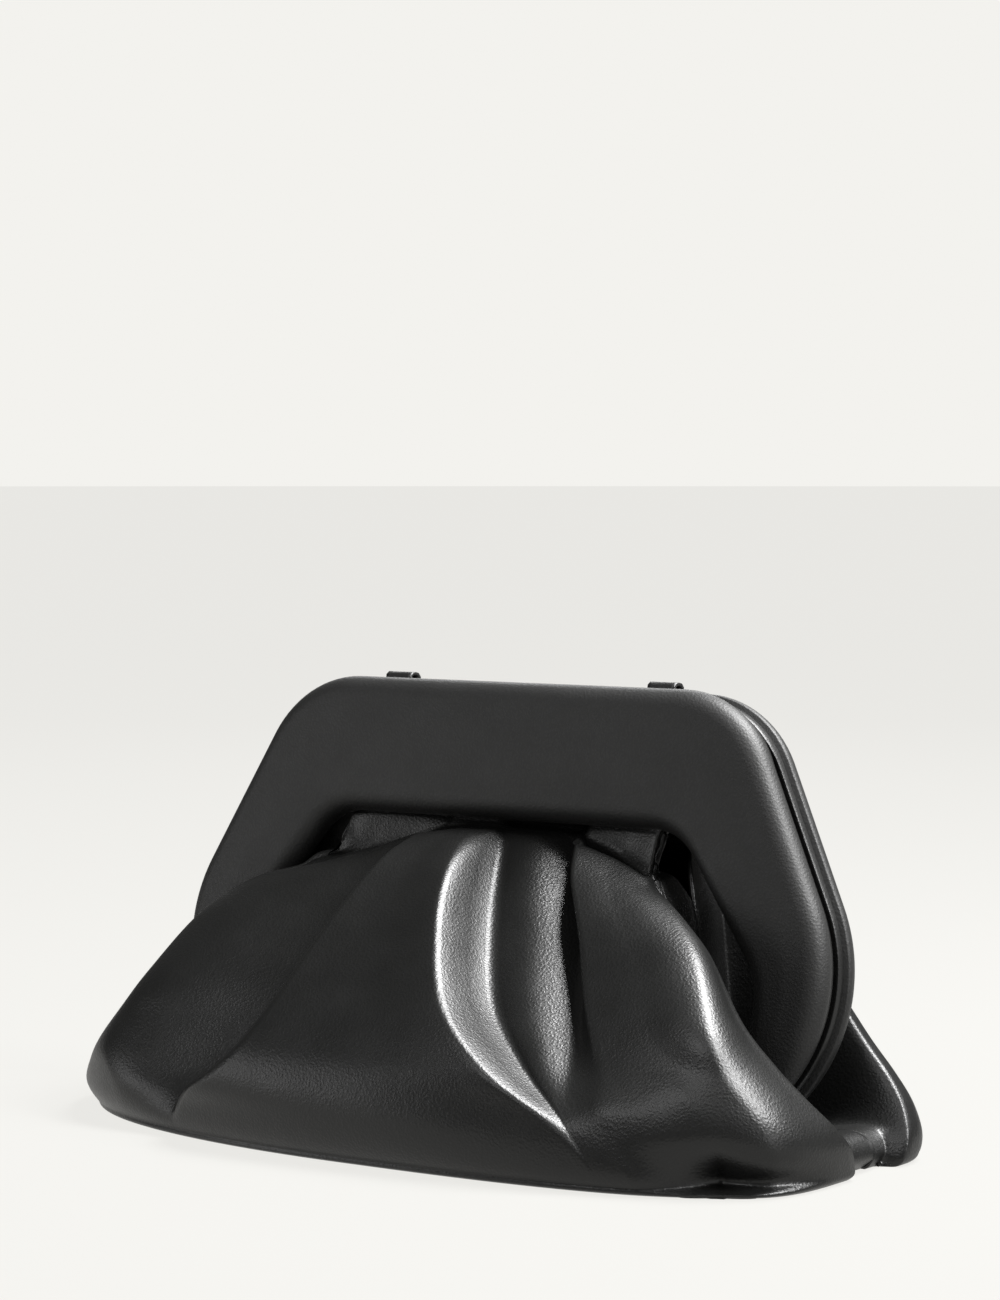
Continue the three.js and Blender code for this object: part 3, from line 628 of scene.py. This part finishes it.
def fold_field(lines):
    """A function that turns a place on the grid, w across and t down, into u and the fold
    height there."""
    steps = np.arange(0, T_END + 0.01, T_STEP)
    bell = np.exp(-0.5 * (np.arange(-EASE_REACH, EASE_REACH + 1) / EASE) ** 2)
    bell /= bell.sum()

    def eased(values):
        return np.convolve(np.pad(values, EASE_REACH, mode="edge"), bell, mode="valid")

    edges = [(0, [(0, u, 0), (T_END, u, 0)]) for u in (-1, -NECK, NECK, 1)]
    tables = edges[:2] + [(sharp, table) for _, sharp, table in lines] + edges[2:]
    places, heights = [], []
    for _, table in tables:
        t, u, h = np.array(table, float).T
        places.append(eased(np.interp(steps, t, u)))
        heights.append(eased(np.interp(steps, t, h)))
    sharps = [sharp for sharp, _ in tables]
    widths = np.maximum(np.diff([p[LOBES].mean() for p in places]), LEAST_WIDTH)
    marks = np.r_[0, np.cumsum(widths)]
    marks = 2 * marks / marks[-1] - 1

    def field(w, t):
        k = np.clip(np.searchsorted(marks, w, side="right") - 1, 0, len(marks) - 2)
        q = (w - marks[k]) / (marks[k + 1] - marks[k])
        u, h = np.zeros_like(w), np.zeros_like(w)
        for i in range(len(marks) - 1):
            here = k == i
            ti, qi = t[here], q[here]
            u0, u1 = (np.interp(ti, steps, places[j]) for j in (i, i + 1))
            h0, h1 = (np.interp(ti, steps, heights[j]) for j in (i, i + 1))
            steep = 2 * sharps[i] * qi * (1 - qi) ** 2 + 2 * sharps[i + 1] * qi ** 2 * (qi - 1)
            u[here] = mix(u0, u1, qi)
            h[here] = mix(h0, h1, smooth(qi) + steep)
        return u, h
    return field


# %% [markdown]
# The back sheet hardly shows in the photo. Its folds are plain, shallow ones.

# %% Back folds
BACK_LINES = [
    ("left shoulder", 0, [(3, -0.74, 0), (13, -0.74, 0)]),
    ("left lobe", 0, [(4, -0.55, 0), (6, -0.52, 3), (9, -0.50, 2), (12, -0.5, 0)]),
    ("left hollow", 0, [
        (4, -0.32, 0), (5, -0.33, -5), (7, -0.36, -7), (9, -0.38, -6), (11.5, -0.40, 0)]),
    ("left ridge", 0.1, [(4, -0.14, 1), (6, -0.16, 4), (9, -0.19, 4), (11.5, -0.2, 0)]),
    ("middle pleat", 0.1, [
        (3.4, 0.02, -3), (5, 0.02, -11), (8, 0.02, -10), (10, 0.015, -5), (11.5, 0.01, 0)]),
    ("right ridge", 0.1, [(4, 0.16, 1), (6, 0.19, 4), (9, 0.22, 4), (11.5, 0.24, 0)]),
    ("right hollow", 0, [
        (4, 0.34, 0), (5, 0.35, -5), (7, 0.38, -7), (9, 0.40, -6), (11.5, 0.42, 0)]),
    ("right lobe", 0, [(4, 0.56, 0), (6, 0.54, 3), (9, 0.52, 2), (12, 0.5, 0)]),
    ("right shoulder", 0, [(3, 0.74, 0), (13, 0.74, 0)]),
]

# %% [markdown]
# A grid makes each sheet's quads and its points move to the surface above. A Solidify modifier
# then gives the leather its thickness, inwards. Where the sheet lies on the floor with its
# inner side down, its points are first raised by that thickness.

# %% Pouch sheets
THICK = 0.0016      # metres
FACES_DOWN = -0.2   # a normal's z below which a point already faces the floor


def pouch_sheet(name, sheet, lines, dips, across, down, node):
    rows = section_rows(sheet)
    last = len(rows) - 1
    bm = bmesh.new()
    bmesh.ops.create_grid(bm, x_segments=across, y_segments=down, size=1.0)
    verts = list(bm.verts)
    w = np.clip(np.array([v.co.x for v in verts]), -1, 1)
    t = np.clip((1 - np.array([v.co.y for v in verts])) / 2 * last, 0, last - 1e-9)
    u, h = fold_field(lines)(w, t)
    for v, p in zip(verts, in_metres(sheet_points(sheet, rows, u, t, h, dips))):
        v.co = p
    if sheet["side"] > 0:
        bmesh.ops.reverse_faces(bm, faces=bm.faces)
    bm.normal_update()
    for v in bm.verts:
        if v.co.z < THICK and v.normal.z > FACES_DOWN:
            v.co.z = THICK
    piece = new_piece(name, bm, pouch_leather, node)
    thick = piece.modifiers.new("leather thickness", "SOLIDIFY")
    thick.thickness = THICK
    thick.offset = -1


pouch_sheet("pouch_front_leather", FRONT, FRONT_LINES, FRONT_DIPS, 216, 180,
            "pouch_front")
pouch_sheet("pouch_back_leather", BACK, BACK_LINES, (), 170, 130,
            "pouch_back")

# %% [markdown]
# Strap loops: a strip of leather folded over into an eye, with both ends stitched down into
# the groove between the back half's board and panel.

# %% Strap loops
STRIP_THICK = 0.0014         # metres
HALF_STRIP, HALF_EYE = 6.4, 2.5
EYE_TOP = TOP + 3.4
FOLD = TOP - BOARD_INSET + FIT   # height where the strip turns over the board
TAIL = GAP + BOARD - 1.5         # depth of the stitched ends
COLUMNS = 8                      # faces across the strip


def strap_loop(name, x0, node):
    path = [  # depth and height, from one stitched end over the eye to the other
        (TAIL, FOLD - 11), (TAIL, FOLD - 4), (TAIL - 0.2, FOLD + 0.2),
        (-HALF_EYE + 0.6, FOLD + 0.9), (-HALF_EYE - 0.6, FOLD + 1.4),
        (-HALF_EYE - 0.5, EYE_TOP - 2.0), (-HALF_EYE + 0.9, EYE_TOP - 0.9), (0, EYE_TOP - 0.8),
        (HALF_EYE - 0.9, EYE_TOP - 0.9), (HALF_EYE + 0.5, EYE_TOP - 2.0),
        (HALF_EYE + 0.6, FOLD + 1.7), (TAIL + 0.9, FOLD + 0.8),
        (TAIL + 0.6, FOLD - 4), (TAIL + 0.6, FOLD - 11),
    ]
    rows = len(path) - 1
    bm = bmesh.new()
    bmesh.ops.create_grid(bm, x_segments=COLUMNS, y_segments=rows, size=1.0)
    for v in bm.verts:
        d, s = path[round((v.co.y + 1) / 2 * rows)]
        v.co = in_metres((x0 + v.co.x * HALF_STRIP, *to_bag(s, d)))
    bmesh.ops.recalc_face_normals(bm, faces=bm.faces)
    piece = new_piece(name, bm, loop_leather, node)
    thick = piece.modifiers.new("strip thickness", "SOLIDIFY")
    thick.thickness = STRIP_THICK
    thick.offset = 0


strap_loop("strap_loop_left_strip", -65.5, "strap_loop_left")
strap_loop("strap_loop_right_strip", 65.5, "strap_loop_right")

# %% [markdown]
# Stage: a plain pale floor in a pale surround. The camera sees both at nearly one tone, with
# the bag's soft shadow on the floor. The surround gives the leather little light, since black
# leather is drawn by its highlights, but the leather mirrors a bright floor near its foot.

# %% Surround and floor
WHITE = (0.896, 0.887, 0.855)
SURROUND_LIGHT = 0.10                 # what the surround gives, of what the camera sees
FLOOR_SEEN, FLOOR_MIRRORED = 0.90, 0.80
FLOOR_MATT = (0.035, 0.035, 0.034, 1)  # takes the light and the shadow
FLOOR_RADIUS = 40.0                   # metres

world = bpy.data.worlds.new("surround")
bpy.context.scene.world = world
world.use_nodes = True
sky = world.node_tree
seen = sky.nodes.new("ShaderNodeLightPath")
ambient = sky.nodes.new("ShaderNodeMapRange")
ambient.inputs["To Min"].default_value = SURROUND_LIGHT
ambient.inputs["To Max"].default_value = 1.0
sky.links.new(seen.outputs["Is Camera Ray"], ambient.inputs["Value"])
sky.nodes["Background"].inputs["Color"].default_value = WHITE + (1,)
sky.links.new(ambient.outputs["Result"], sky.nodes["Background"].inputs["Strength"])

m = Maker("floor")
glow = m.node("ShaderNodeEmission", {}, {"Color": WHITE + (1,), "Strength": FLOOR_SEEN})
matt = m.node("ShaderNodeBsdfDiffuse", {}, {"Color": FLOOR_MATT})
looked_at = m.node("ShaderNodeAddShader", {}, {0: glow, 1: matt})
mirrored = m.node("ShaderNodeEmission", {}, {"Color": WHITE + (1,), "Strength": FLOOR_MIRRORED})
from_camera = m.node("ShaderNodeLightPath", {}, {}, "Is Camera Ray")
floor_paint = m.finish(m.node("ShaderNodeMixShader", {},
                              {0: from_camera, 1: mirrored, 2: looked_at}))

bm = bmesh.new()
bmesh.ops.create_circle(bm, cap_ends=True, radius=FLOOR_RADIUS, segments=64)
mesh = bpy.data.meshes.new("floor")
bm.to_mesh(mesh)
bm.free()
floor = bpy.data.objects.new("floor", mesh)
bpy.context.scene.collection.objects.link(floor)
mesh.materials.append(floor_paint)
floor.visible_diffuse = False

# %% [markdown]
# Lights: soft boxes aimed at the bag. Two stand high, above the bag and to the right, and give
# the highlights on the pleat and the right lobe. The others are weak and keep the front, the
# right end and the back from going black.

# %% Lights
def softbox(name, where, aim, size, power):
    data = bpy.data.lights.new(name, "AREA")
    data.shape = "RECTANGLE"
    data.size, data.size_y = size
    data.energy = power
    lamp = bpy.data.objects.new(name, data)
    bpy.context.scene.collection.objects.link(lamp)
    lamp.location = where
    lamp.rotation_euler = (Vector(aim) - Vector(where)).to_track_quat("-Z", "Y").to_euler()


# name, place, aim, size, watts
softbox("key high", (0.46, 0.49, 1.45), (0, 0, 0.08), (0.7, 0.7), 75)
softbox("key", (1.15, 0.15, 1.15), (0, 0, 0.08), (0.5, 0.5), 30)
softbox("right", (1.9, -0.3, 0.5), (0, 0, 0.08), (0.7, 0.7), 3)
softbox("front left", (-1.60, -1.45, 0.45), (0, 0, 0.1), (1.0, 0.9), 7)
softbox("front top", (-0.1, -1.5, 1.5), (0, 0, 0.08), (1.0, 0.7), 8)
softbox("rear", (-1.0, 1.6, 1.1), (0, 0, 0.15), (1.0, 0.6), 10)
bpy.context.scene.view_settings.view_transform = "Standard"
